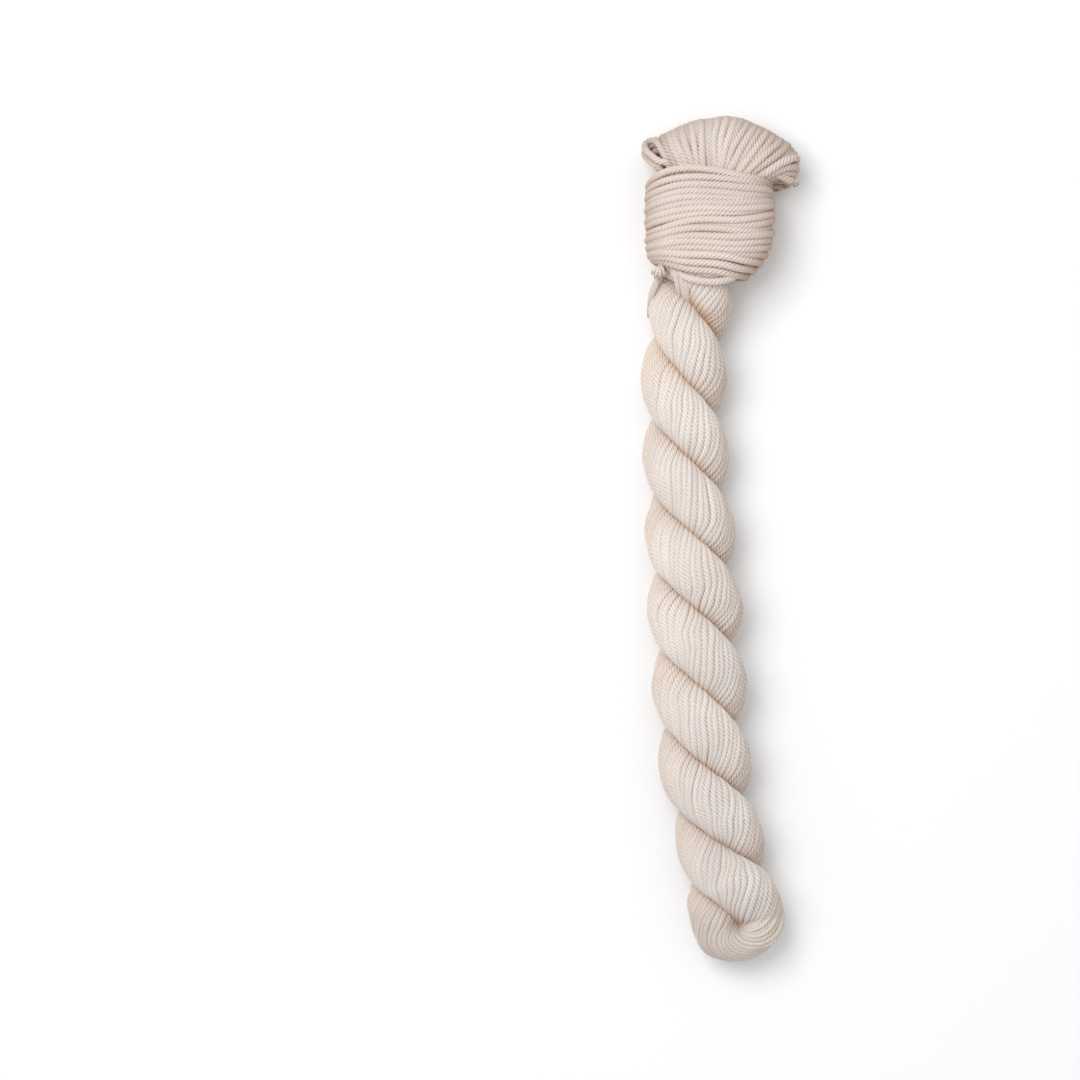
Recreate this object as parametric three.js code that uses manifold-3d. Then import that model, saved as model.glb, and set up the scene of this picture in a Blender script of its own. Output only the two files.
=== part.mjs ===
// Mini skein of yarn: a hank twisted into a rope of two plies, turned back on itself at its foot,
// with a collar of turns wound round its neck and the last loop opened like a fan over the top.
// Millimetres, +Z up. It lies on the XY plane with its head towards +Y.

import * as THREE from 'three';
import { LoftGeometry } from 'three/addons/geometries/LoftGeometry.js';
import { mergeVertices } from 'three/addons/utils/BufferGeometryUtils.js';
import Module from 'manifold-3d';

// Driving dimensions. The ply's are shares of the rope's radius.

const plyAcross = 0.74; // half the width of a ply
const plyMiddle = 0.36; // from the rope's axis to the middle of a ply
const plyPower = 1.85; // how square the section of a ply is: 2 is an ellipse
const ringPower = 2.4; // the same for the sections of the collar and of the fan
const meltAt = 1e-3; // corners nearer than this are one corner

// How finely the surfaces are divided
const plySides = 14;
const ringSides = 34;
const fanSides = 22;
const stepsPerRow = 8;
const stepsPerCollarRow = 2;
const stepsPerFanRow = 2;

// In the tables below, what would lie lower than 0 is pressed flat by the surface under the hank.

// The rope, from its foot up: where its axis lies, its radius to the crown of a ply, and how far it
// has turned since the foot, in half circles. At each whole one a valley between the plies faces up.
const crossings = [
  { x: 5.6, y: -115.4, height: 9.8, radius: 13.95, turned: 0 },
  { x: 3.1, y: -104.6, height: 12.6, radius: 14.7, turned: 0.34 },
  { x: 0.0, y: -90.9, height: 12.4, radius: 13.3, turned: 1 },
  { x: -4.5, y: -67.8, height: 13.3, radius: 14.1, turned: 2 },
  { x: -6.2, y: -44.1, height: 13.5, radius: 14.3, turned: 3 },
  { x: -7.7, y: -20.7, height: 13.7, radius: 14.5, turned: 4 },
  { x: -9.0, y: 2.1, height: 12.9, radius: 13.7, turned: 5 },
  { x: -10.2, y: 24.9, height: 12.3, radius: 13.1, turned: 6 },
  { x: -10.8, y: 48.0, height: 12.2, radius: 13.1, turned: 7 },
  { x: -9.0, y: 70.5, height: 12.1, radius: 12.9, turned: 8 },
  { x: -5.6, y: 86.5, height: 13.0, radius: 12.6, turned: 9 },
];

// The turn at the foot, where the one ply becomes the other: how far it reaches below the eye, and
// the share of that reach at which each of its sections is cut.
const footReach = 11.7;
const footCuts = [0.97, 0.88, 0.75, 0.6, 0.42, 0.22];

// The collar, from its lip down to the neck: left and right edge, underside and top of each section,
// and how much its right-hand side lies further up than its left, as a share of its width.
const collar = [
  { y: 112.4, left: -16.4, right: 11.6, bottom: 5.0, top: 23.0, slope: -0.13 },
  { y: 110.4, left: -19.8, right: 14.4, bottom: 2.2, top: 27.4, slope: -0.12 },
  { y: 107.0, left: -22.0, right: 15.9, bottom: 0.2, top: 29.8, slope: -0.1 },
  { y: 101.0, left: -22.8, right: 16.6, bottom: -0.6, top: 30.8, slope: -0.06 },
  { y: 94.5, left: -22.9, right: 16.6, bottom: -0.8, top: 31.0, slope: 0 },
  { y: 88.5, left: -22.7, right: 16.1, bottom: -0.6, top: 30.6, slope: 0 },
  { y: 84.0, left: -21.8, right: 14.2, bottom: 0.0, top: 29.4, slope: 0 },
  { y: 80.0, left: -18.8, right: 10.6, bottom: 1.2, top: 27.6, slope: 0 },
  { y: 76.6, left: -14.0, right: 5.6, bottom: 2.6, top: 25.2, slope: 0 },
];

// The opened loop, from its left end round to its right: where its crest lies, which way it leans
// from +Y towards +X, how far it reaches from its root in the collar, and its underside and top.
const fan = [
  { x: -23.2, y: 117.4, lean: -52, reach: 6, bottom: 9.5, top: 14.5 },
  { x: -23.1, y: 119.3, lean: -38, reach: 13, bottom: 5.5, top: 18.0 },
  { x: -19.4, y: 121.0, lean: -22, reach: 20, bottom: 2.0, top: 21.2 },
  { x: -13.2, y: 123.9, lean: -12, reach: 25, bottom: 0.2, top: 22.8 },
  { x: -6.9, y: 126.3, lean: -5, reach: 27, bottom: -0.6, top: 23.6 },
  { x: -0.6, y: 127.1, lean: 3, reach: 28, bottom: -0.8, top: 24.0 },
  { x: 5.4, y: 126.9, lean: 13, reach: 28, bottom: -0.8, top: 24.0 },
  { x: 12.3, y: 124.2, lean: 27, reach: 27, bottom: -0.6, top: 23.8 },
  { x: 18.6, y: 120.4, lean: 41, reach: 26, bottom: 0.0, top: 23.2 },
  { x: 22.8, y: 115.9, lean: 56, reach: 24, bottom: 1.4, top: 22.2 },
  { x: 23.9, y: 111.0, lean: 70, reach: 20, bottom: 3.0, top: 20.4 },
  { x: 22.9, y: 106.6, lean: 84, reach: 13, bottom: 6.0, top: 17.4 },
  { x: 21.4, y: 104.8, lean: 94, reach: 6, bottom: 9.5, top: 14.2 },
];

const wasm = await Module();
wasm.setup();

// Smooth curves through the rows of a table: returns a function from a row number, whole or not,
// to an object with the table's own columns.
function through(rows) {
  const columns = Object.keys(rows[0]);
  const places = rows.map((row, index) => index);
  const values = rows.flatMap((row) => columns.map((column) => row[column]));
  const curve = new THREE.CubicInterpolant(places, values, columns.length);
  const entry = ([column, index]) => [column, curve.evaluate(place)[index]];
  let place = 0;
  return (at) => {
    place = at;
    return Object.fromEntries(columns.map((column, index) => entry([column, index])));
  };
}

// A closed geometry as a solid that can be joined and cut.
function solidOf(geometry) {
  const bare = new THREE.BufferGeometry();
  bare.setAttribute('position', geometry.getAttribute('position'));
  bare.setIndex(geometry.getIndex());
  const merged = mergeVertices(bare, meltAt);
  return new wasm.Manifold(
    new wasm.Mesh({
      numProp: 3,
      vertProperties: new Float32Array(merged.attributes.position.array),
      triVerts: new Uint32Array(merged.index.array),
    }),
  );
}

function geometryOf(solid) {
  const { vertProperties, triVerts } = solid.getMesh();
  const geometry = new THREE.BufferGeometry();
  geometry.setAttribute('position', new THREE.BufferAttribute(vertProperties, 3));
  geometry.setIndex(new THREE.BufferAttribute(triVerts, 1));
  return geometry;
}

// A solid lofted through sections, each a ring of points.
function lofted(sections) {
  return solidOf(new LoftGeometry(sections, { capStart: true, capEnd: true }));
}

// The same for sections that turn against the order of their points: each four-cornered piece of
// the wall is split along its other, shorter diagonal.
function loftedTwist(sections) {
  const loft = new LoftGeometry(sections, { capStart: true, capEnd: true });
  const corners = loft.getIndex().array;
  const cornersPerPiece = 6;
  const wall = (sections.length - 1) * sections[0].length * cornersPerPiece;
  for (let start = 0; start < wall; start += cornersPerPiece) {
    const [a, b, d, , c] = corners.slice(start, start + cornersPerPiece);
    corners.set([a, b, c, a, c, d], start);
  }
  return solidOf(loft);
}

// A number to a power that keeps its sign.
function signedPower(value, power) {
  return Math.sign(value) * Math.abs(value) ** power;
}

// The outer side of a ply, from one valley over its crown to the other, for a rope of radius 1.
// `out` is the distance from the axis and `along` the place across the ply. The arc starts and ends
// at the distance `from` the axis, where 0 is the flat inner side of the ply.
function plyArc(from) {
  const depth = 1 - plyMiddle;
  const share = Math.abs(plyMiddle - from) / depth;
  const bend = Math.acos(share ** (plyPower / 2));
  const end = from < plyMiddle ? Math.PI - bend : bend;
  return Array.from({ length: plySides + 1 }, (unused, index) => {
    const turn = THREE.MathUtils.lerp(-end, end, index / plySides);
    return {
      out: plyMiddle + depth * signedPower(Math.cos(turn), 2 / plyPower),
      along: plyAcross * signedPower(Math.sin(turn), 2 / plyPower),
    };
  });
}

// Both plies back to back, as one ring: the second ply is the first, turned half a circle.
function bothPlies(arc) {
  const second = arc.map(({ out, along }) => ({ out: -out, along: -along }));
  return [...arc.slice(0, plySides), ...second.slice(0, plySides)];
}

// The point that lies `sideways` and `upwards` of a middle, in the upright plane through `side`.
function offset(middle, side, sideways, upwards) {
  return new THREE.Vector3(
    middle.x + side.x * sideways,
    middle.y + side.y * sideways,
    middle.height + upwards,
  );
}

// The level direction across the rope, pointing right, at a place along it.
function acrossRope(rope, at) {
  const nudge = 0.05;
  const before = rope(Math.max(at - nudge, 0));
  const after = rope(Math.min(at + nudge, crossings.length - 1));
  const along = new THREE.Vector2(after.x - before.x, after.y - before.y).normalize();
  return new THREE.Vector2(along.y, -along.x);
}

// One section of the rope.
function ropeSection(rope, at) {
  const middle = rope(at);
  const side = acrossRope(rope, at);
  const cos = middle.radius * Math.cos(Math.PI * middle.turned);
  const sin = middle.radius * Math.sin(Math.PI * middle.turned);
  const ring = bothPlies(plyArc(0));
  return ring.map(({ out, along }) =>
    offset(middle, side, out * cos - along * sin, out * sin + along * cos),
  );
}

// One section of the foot, `cut` of the way from the eye to its end: a ply that swings round an
// upright line through the eye is cut there at both of its sides.
function footSection(rope, cut) {
  const eye = rope(0);
  const side = acrossRope(rope, 0);
  const middle = { ...eye, x: eye.x + side.y * footReach * cut, y: eye.y - side.x * footReach * cut };
  const ring = bothPlies(plyArc(cut));
  return ring.map(({ out, along }) => {
    const sideways = Math.sign(out) * Math.sqrt(Math.max(out ** 2 - cut ** 2, 0));
    return offset(middle, side, eye.radius * sideways, eye.radius * along);
  });
}

function ropeSolid() {
  const rope = through(crossings);
  const steps = stepsPerRow * (crossings.length - 1);
  const foot = footCuts.map((cut) => footSection(rope, cut));
  const plies = Array.from({ length: steps + 1 }, (unused, step) =>
    ropeSection(rope, step / stepsPerRow),
  );
  return loftedTwist([...foot, ...plies].map((ring) => ring.reverse()));
}

// A ring in the shape of a rounded box, `half` its width each way of `middle` and from bottom to top.
function roundedRing(middle, side, half, bottom, top, sides) {
  const rise = (top - bottom) / 2;
  return Array.from({ length: sides }, (unused, index) => {
    const turn = (2 * Math.PI * index) / sides;
    const sideways = half * signedPower(Math.cos(turn), 2 / ringPower);
    const upwards = rise * signedPower(Math.sin(turn), 2 / ringPower);
    return offset({ ...middle, height: (top + bottom) / 2 }, side, sideways, upwards);
  });
}

function collarSolid() {
  const rows = through(collar);
  const steps = stepsPerCollarRow * (collar.length - 1);
  const sections = Array.from({ length: steps + 1 }, (unused, step) => {
    const { y, left, right, bottom, top, slope } = rows(step / stepsPerCollarRow);
    const middle = { x: (left + right) / 2, y };
    const side = new THREE.Vector2(1, slope);
    return roundedRing(middle, side, (right - left) / 2, bottom, top, ringSides);
  });
  return lofted(sections);
}

function fanSolid() {
  const rows = through(fan);
  const steps = stepsPerFanRow * (fan.length - 1);
  const sections = Array.from({ length: steps + 1 }, (unused, step) => {
    const { x, y, lean, reach, bottom, top } = rows(step / stepsPerFanRow);
    const angle = THREE.MathUtils.degToRad(lean);
    const side = new THREE.Vector2(Math.sin(angle), Math.cos(angle));
    const middle = { x: x - (side.x * reach) / 2, y: y - (side.y * reach) / 2 };
    return roundedRing(middle, side, reach / 2, bottom, top, fanSides);
  });
  return lofted(sections);
}

// Cuts away what would lie under the surface that the hank rests on.
function restOnSurface(solid) {
  const room = 400;
  const below = new THREE.BoxGeometry(room, room, room).translate(0, 0, -room / 2);
  return solid.subtract(solidOf(below));
}

function hankMesh() {
  const whole = ropeSolid().add(collarSolid()).add(fanSolid());
  const geometry = geometryOf(restOnSurface(whole));
  const yarn = new THREE.MeshStandardMaterial({ color: 0xe8dacd, roughness: 0.92, metalness: 0 });
  const mesh = new THREE.Mesh(geometry, yarn);
  mesh.name = 'hank';
  return mesh;
}

const skein = new THREE.Group();
skein.add(hankMesh());

export default skein;
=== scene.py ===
"""Looks of the mini skein of yarn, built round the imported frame.

Every strand that shows is a mesh of its own: a soft tube of four plies that twist round each other.
The strands lie on the form of the hank: a rope of two plies with a turn at its foot, a collar wound
round the neck and the last loop opened like a fan. Lengths are millimetres until a mesh is made.
"""

import math
from collections import namedtuple

import bpy
import numpy as np
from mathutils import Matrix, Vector


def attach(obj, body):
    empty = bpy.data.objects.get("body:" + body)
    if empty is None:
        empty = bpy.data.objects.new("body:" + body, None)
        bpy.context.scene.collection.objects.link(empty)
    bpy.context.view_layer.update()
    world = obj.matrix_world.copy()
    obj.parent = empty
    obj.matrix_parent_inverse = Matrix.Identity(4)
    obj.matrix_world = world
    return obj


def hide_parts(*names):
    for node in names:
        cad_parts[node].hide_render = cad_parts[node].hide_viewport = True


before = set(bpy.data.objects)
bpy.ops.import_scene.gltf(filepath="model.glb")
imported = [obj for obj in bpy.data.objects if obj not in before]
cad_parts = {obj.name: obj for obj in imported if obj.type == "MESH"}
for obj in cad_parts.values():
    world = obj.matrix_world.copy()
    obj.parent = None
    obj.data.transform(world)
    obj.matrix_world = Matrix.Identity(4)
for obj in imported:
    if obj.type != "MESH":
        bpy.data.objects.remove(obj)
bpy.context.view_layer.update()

MM = 0.001
UP = np.array([0.0, 0.0, 1.0])
rng = np.random.default_rng(20)

# The yarn
STEP = 0.74  # between the rings of a strand
HIDDEN_STEPS = 4  # where a strand can't be seen it has one ring in so many steps
PLIES = 4
TURN = 5.0  # length in which they twist once round each other
LOBE_ANGLES = (-24, 0, 24, 45)  # each ply: three points on its crown and the groove beside it
LOBE_RADII = (0.94, 1.0, 0.94, 0.7)
# painted shade in the grooves between the plies of a strand
GROOVE_SHADE = np.array([0.85, 0.80, 0.77])
FINE = 0.3  # between the points of a line while it is being shaped
END_BULGE = 0.35  # how far a strand's ends are rounded out, as a share of its radius
RESTS_AT = 0.9  # how low a strand's middle may lie, as a share of its radius
LOWEST, CORE_LOWEST = 0.03, 0.05  # heights at which strands and cores are pressed flat

# The section of a ply of the rope, in shares of the rope's radius, as in the frame
PLY_ACROSS = 0.74  # half its width
PLY_MIDDLE = 0.36  # how far its middle is from the rope's axis
PLY_POWER = 1.85  # its roundness: 2 is an ellipse, and more is squarer

RING_POWER = 2.4  # the same of the collar and of the opened loop
FOOT_REACH = 11.7  # how far the turn at the foot reaches beyond its eye

# The rope from its foot up: x, y, height, radius, how far the strands on top lean to the left of +Y
# in degrees, and how far the rope has turned since the foot, in half circles. At each whole one a
# valley between the plies faces up.
CROSSINGS = np.array([
    (5.6, -115.4, 9.8, 13.95, -16, 0),
    (3.1, -104.6, 12.6, 14.7, -3, 0.34),
    (0.0, -90.9, 12.4, 13.3, 5, 1),
    (-4.5, -67.8, 13.3, 14.1, 4, 2),
    (-6.2, -44.1, 13.5, 14.3, 3, 3),
    (-7.7, -20.7, 13.7, 14.5, 3, 4),
    (-9.0, 2.1, 12.9, 13.7, 3, 5),
    (-10.2, 24.9, 12.3, 13.1, 2, 6),
    (-10.8, 48.0, 12.2, 13.1, 2, 7),
    (-9.0, 70.5, 12.1, 12.9, -8, 8),
    (-5.6, 86.5, 13.0, 12.6, -34, 9),
])

# The collar's form, from its lip down to the neck: y, left, right, bottom, top, slope.
COLLAR = np.array([
    (112.4, -16.4, 11.6, 5.0, 23.0, -0.13),
    (110.4, -19.8, 14.4, 2.2, 27.4, -0.12),
    (107.0, -22.0, 15.9, 0.2, 29.8, -0.10),
    (101.0, -22.8, 16.6, -0.6, 30.8, -0.06),
    (94.5, -22.9, 16.6, -0.8, 31.0, 0),
    (88.5, -22.7, 16.1, -0.6, 30.6, 0),
    (84.0, -21.8, 14.2, 0.0, 29.4, 0),
    (80.0, -18.8, 10.6, 1.2, 27.6, 0),
    (76.6, -14.0, 5.6, 2.6, 25.2, 0),
])

# The strands of the collar, from its lip down: y at the right edge, at five places across the top
# and at the left edge, then how much deeper it lies at the right, in the middle and at the left.
COLLAR_TURNS = np.array([
    (105.9, 107.2, 108.5, 109.9, 110.6, 109.5, 105.3, 0.3, 0.0, 0.0),
    (104.8, 105.9, 106.8, 107.5, 107.7, 106.6, 103.5, 0.9, 0.2, 0.2),
    (103.6, 104.1, 104.6, 105.3, 105.6, 104.0, 101.7, 0.0, 0.0, 0.0),
    (102.4, 102.2, 102.6, 103.1, 103.6, 102.1, 99.8, 0.6, 0.1, 0.3),
    (101.7, 101.2, 101.0, 101.5, 101.8, 100.3, 98.0, 0.9, 0.3, 0.0),
    (100.9, 100.1, 99.3, 100.0, 99.9, 98.4, 96.2, 0.1, 0.0, 0.4),
    (99.8, 98.4, 97.6, 98.4, 97.9, 96.6, 94.7, 0.0, 0.0, 0.0),
    (99.1, 97.4, 96.6, 97.1, 96.1, 94.9, 93.1, 0.9, 0.6, 0.2),
    (97.7, 95.3, 94.4, 95.2, 94.3, 92.3, 91.0, 0.0, 0.0, 0.5),
    (95.9, 93.1, 93.0, 93.0, 92.8, 91.3, 90.2, 0.0, 1.1, 1.0),
    (93.7, 91.4, 91.8, 92.5, 92.3, 90.3, 89.3, 0.7, 0.0, 0.0),
    (91.6, 90.2, 89.5, 90.0, 90.3, 88.9, 88.1, 0.0, 0.1, 0.5),
    (89.7, 88.1, 87.4, 88.2, 88.5, 87.7, 87.0, 0.4, 0.0, 0.0),
    (87.6, 86.2, 86.0, 86.8, 86.8, 86.8, 86.1, 0.1, 0.4, 0.6),
    (85.1, 84.8, 85.2, 85.8, 85.6, 86.0, 85.6, 0.2, 1.2, 1.2),
    (82.6, 82.9, 84.2, 84.7, 84.4, 85.4, 85.1, 0.0, 0.0, 0.1),
    (80.6, 80.5, 81.8, 82.3, 82.3, 84.0, 84.3, 0.1, 0.1, 0.5),
    (78.7, 78.7, 79.5, 80.0, 80.2, 82.2, 83.9, 0.0, 0.0, 0.8),
])
TURN_STATIONS = (0, 54, 77, 92, 110, 137, 180)  # degrees round the collar from its right edge
TURN_RADIUS = 1.2

# The opened loop, from its left end round to its right: crest x and y, lean from +Y towards +X in
# degrees, reach from its root, bottom, top.
FAN = np.array([
    (-23.2, 117.4, -52, 6, 9.5, 14.5),
    (-23.1, 119.3, -38, 13, 5.5, 18.0),
    (-19.4, 121.0, -22, 20, 2.0, 21.2),
    (-13.2, 123.9, -12, 25, 0.2, 22.8),
    (-6.9, 126.3, -5, 27, -0.6, 23.6),
    (-0.6, 127.1, 3, 28, -0.8, 24.0),
    (5.4, 126.9, 13, 28, -0.8, 24.0),
    (12.3, 124.2, 27, 27, -0.6, 23.8),
    (18.6, 120.4, 41, 26, 0.0, 23.2),
    (22.8, 115.9, 56, 24, 1.4, 22.2),
    (23.9, 111.0, 70, 20, 3.0, 20.4),
    (22.9, 106.6, 84, 13, 6.0, 17.4),
    (21.4, 104.8, 94, 6, 9.5, 14.2),
])

# The strands of the opened loop, from left to right: crest x and y, middle x and y, root x and y
# where the collar covers it, bottom and top, and how much deeper it lies than its neighbours.
FAN_STRANDS = np.array([
    (-17.7, 121.6, -15.9, 117.0, -13.6, 112.0, 2.6, 20.4, 0.3),
    (-16.0, 122.3, -14.2, 116.9, -12.0, 112.2, 1.6, 21.2, 0.0),
    (-14.5, 123.1, -12.8, 117.6, -10.2, 112.2, 0.8, 22.0, 0.4),
    (-11.8, 124.4, -10.7, 118.2, -8.7, 112.2, 0.2, 22.6, 0.0),
    (-8.8, 125.6, -8.0, 118.2, -6.9, 111.9, 0.0, 23.0, 0.5),
    (-5.7, 126.3, -5.9, 119.1, -5.4, 111.9, 0.0, 23.4, 0.0),
    (-4.0, 126.4, -4.2, 117.9, -3.5, 111.6, 0.0, 23.2, 0.9),
    (-2.5, 126.5, -3.2, 120.9, -2.4, 111.6, 0.0, 23.4, 1.0),
    (0.0, 126.9, -2.1, 119.1, -1.8, 111.6, 0.0, 24.0, 0.0),
    (2.4, 127.2, -0.2, 119.1, -0.6, 111.3, 0.0, 24.0, 0.1),
    (5.0, 126.8, 1.5, 117.6, 0.3, 111.3, 0.0, 24.0, 0.0),
    (7.2, 126.3, 3.3, 119.7, 1.1, 111.3, 0.0, 23.6, 0.7),
    (9.2, 125.5, 3.9, 117.6, 1.5, 110.7, 0.0, 24.0, 0.5),
    (11.2, 124.5, 6.5, 117.6, 3.0, 110.7, 0.0, 24.0, 0.0),
    (12.9, 123.8, 8.6, 117.6, 4.2, 110.4, 0.2, 23.8, 0.8),
    (14.9, 122.8, 10.8, 117.3, 5.9, 110.3, 0.4, 23.6, 0.0),
    (16.7, 121.7, 12.9, 116.7, 6.9, 110.1, 0.6, 23.4, 0.8),
    (19.2, 120.1, 14.1, 115.7, 8.1, 109.8, 1.4, 23.0, 0.0),
    (21.3, 118.7, 15.3, 113.6, 9.6, 109.5, 2.6, 22.4, 0.4),
    (23.3, 116.0, 17.4, 112.2, 11.7, 108.6, 5.0, 21.4, 0.0),
])
FAN_RADIUS = 1.22
ROOT_DEPTH = 12.0  # how far the strands run on under the collar


# ---- Numbers and curves

def through(rows, at):
    """Smooth curves through the rows of a table, at row numbers, whole or not."""
    rows = np.asarray(rows, float)
    at = np.clip(np.asarray(at, float), 0, len(rows) - 1)
    low = np.minimum(at.astype(int), len(rows) - 2)
    slope = np.empty_like(rows)
    slope[1:-1] = (rows[2:] - rows[:-2]) / 2
    slope[0] = 1.5 * (rows[1] - rows[0]) - 0.5 * slope[1]
    slope[-1] = 1.5 * (rows[-1] - rows[-2]) - 0.5 * slope[-2]
    t = (at - low)[..., None]
    a, b, u, v = rows[low], rows[low + 1], slope[low], slope[low + 1]
    return (
        (2 * t**3 - 3 * t**2 + 1) * a + (t**3 - 2 * t**2 + t) * u
        + (3 * t**2 - 2 * t**3) * b + (t**3 - t**2) * v
    )


def signed_power(value, power):
    return np.sign(value) * np.abs(value) ** power


def rounded_box(turn, power=RING_POWER):
    """Points on a box with rounded sides, from -1 to 1 both ways, at angles round it."""
    return signed_power(np.cos(turn), 2 / power), signed_power(np.sin(turn), 2 / power)


def unit(vectors):
    return vectors / np.linalg.norm(vectors, axis=-1, keepdims=True)


def smooth_step(value, low, high):
    t = np.clip((value - low) / (high - low), 0, 1)
    return t * t * (3 - 2 * t)


def lengths(points):
    steps = np.linalg.norm(np.diff(points, axis=0), axis=1)
    return np.concatenate([[0], np.cumsum(steps)])


def softened(points, width, step, closed=False):
    """Points that lie step apart, with bends tighter than about width rounded off."""
    reach = max(1, int(3 * width / step))
    kernel = np.exp(-0.5 * (np.arange(-reach, reach + 1) * step / width) ** 2)
    kernel /= kernel.sum()
    if closed:
        padded = np.concatenate([points[-reach:], points, points[:reach]])
    else:
        before = 2 * points[0] - points[reach:0:-1]
        after = 2 * points[-1] - points[-2:-reach - 2:-1]
        padded = np.concatenate([before, points, after])
    return np.stack([np.convolve(column, kernel, "valid") for column in padded.T], 1)


def spaced(points, step, closed=False):
    """The same line with its points step apart, or as near as makes a whole number of steps."""
    line = np.concatenate([points, points[:1]]) if closed else points
    along = lengths(line)
    count = max(3, round(along[-1] / step))
    at = np.linspace(0, along[-1], count + 1)[: count if closed else count + 1]
    return np.stack([np.interp(at, along, column) for column in line.T], 1)


def wander(length_along, size, waves):
    """A smooth random curve: a few waves of different lengths."""
    total = np.zeros_like(length_along)
    for wave in waves:
        turn = rng.uniform(0, math.tau)
        total += rng.uniform(0.5, 1) * np.sin(math.tau * length_along / wave + turn)
    return size * total / len(waves)


def shared_wander(count, size, waves):
    """A smooth random curve for each of count strands side by side round a ply, so that those next
    to each other wander almost together. Gives a function of the strand and the length along it."""
    parts = [
        (wave, rng.uniform(0, math.tau),
         math.tau * rng.integers(1, 4) / count * rng.choice([-1, 1]))
        for wave in waves
    ]

    def at(strand, length_along):
        turns = [
            np.sin(math.tau * length_along / wave + start + shift * strand)
            for wave, start, shift in parts
        ]
        return size * sum(turns) / len(parts)

    return at


def kept_up(height, lowest):
    """Heights that settle softly on the lowest one allowed."""
    soft = 0.35
    return lowest + soft * np.logaddexp(0, (height - lowest) / soft)


def smooth_through(points, per=24):
    """A smooth line through points, with so many places from each to the next."""
    points = np.array(points, float)
    return through(points, np.linspace(0, len(points) - 1, per * (len(points) - 1) + 1))


# ---- The yarn's material

YARN_COLOUR = (0.84, 0.77, 0.72)
DARKER, LIGHTER = (0.95, 0.93, 0.93), 1.03  # how far its tone drifts from that
FIBRE_DEPTH = 0.0001  # metres


def yarn_material():
    """Soft matte wool: a tint from the mesh with painted shade, a drifting tone, and fine fibres
    along the strand.
    """
    material = bpy.data.materials.new("yarn_wool")
    material.use_nodes = True
    nodes, links = material.node_tree.nodes, material.node_tree.links
    shader = nodes["Principled BSDF"]

    def node(kind, inputs=(), **settings):
        made = nodes.new("ShaderNode" + kind)
        for key, value in settings.items():
            setattr(made, key, value)
        for key, value in dict(inputs).items():
            made.inputs[key].default_value = value
        return made

    def times(one, other):
        product = node("Mix", {"Factor": 1.0}, data_type="RGBA", blend_type="MULTIPLY")
        links.new(one, product.inputs["A"])
        links.new(other, product.inputs["B"])
        return product.outputs["Result"]

    place = node("TexCoord")
    strand = node("UVMap", uv_map="strand")
    stretch = node("Mapping", {"Scale": (9.0, 5.0, 1.0)})
    links.new(strand.outputs["UV"], stretch.inputs["Vector"])
    fibres = node("TexNoise", {"Scale": 1.6, "Detail": 5.0, "Roughness": 0.7})
    links.new(stretch.outputs["Vector"], fibres.inputs["Vector"])
    fuzz = node("TexNoise", {"Scale": 2600.0, "Detail": 4.0, "Roughness": 0.65})
    links.new(place.outputs["Object"], fuzz.inputs["Vector"])
    drift = node("TexNoise", {"Scale": 46.0, "Detail": 2.0, "Roughness": 0.5})
    links.new(place.outputs["Object"], drift.inputs["Vector"])

    tones = node("ValToRGB")
    darker, lighter = tones.color_ramp.elements
    darker.position, lighter.position = 0.3, 0.7
    darker.color = (*[c * s for c, s in zip(YARN_COLOUR, DARKER)], 1)
    lighter.color = (*[min(1, c * LIGHTER) for c in YARN_COLOUR], 1)
    links.new(drift.outputs["Fac"], tones.inputs["Fac"])
    # the tint attribute carries painted shade
    tint = node("Attribute", attribute_name="tint")
    flecks = node("MapRange", {"From Min": 0.3, "From Max": 0.7, "To Min": 0.9, "To Max": 1.06})
    links.new(fibres.outputs["Fac"], flecks.inputs["Value"])
    tinted = times(tones.outputs["Color"], tint.outputs["Color"])
    links.new(times(tinted, flecks.outputs["Result"]), shader.inputs["Base Color"])

    both = node("Math", {1: 0.6}, operation="MULTIPLY_ADD")
    links.new(fuzz.outputs["Fac"], both.inputs[0])
    links.new(fibres.outputs["Fac"], both.inputs[2])
    bump = node("Bump", {"Strength": 0.7, "Distance": FIBRE_DEPTH})
    links.new(both.outputs["Value"], bump.inputs["Height"])
    links.new(bump.outputs["Normal"], shader.inputs["Normal"])

    for key, value in {
        "Roughness": 0.88, "Specular IOR Level": 0.2,
        "Sheen Weight": 0.25, "Sheen Roughness": 0.5, "Sheen Tint": (1.0, 0.96, 0.92, 1.0),
        "Subsurface Weight": 0.15, "Subsurface Radius": (1.0, 0.7, 0.5), "Subsurface Scale": 0.0011,
    }.items():
        shader.inputs[key].default_value = value
    return material


yarn = yarn_material()


# ---- Meshes

def walls(index):
    """The faces between rings of points, given the numbers of the points."""
    right = np.roll(index, -1, 1)
    return np.stack([index[:-1], right[:-1], right[1:], index[1:]], -1).reshape(-1, 4)


def cap(edge, tip):
    """Triangles from an edge to a tip, as faces whose last two corners are the same."""
    tips = np.full(len(edge), tip)
    return np.stack([edge, np.roll(edge, -1), tips, tips], -1)


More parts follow.
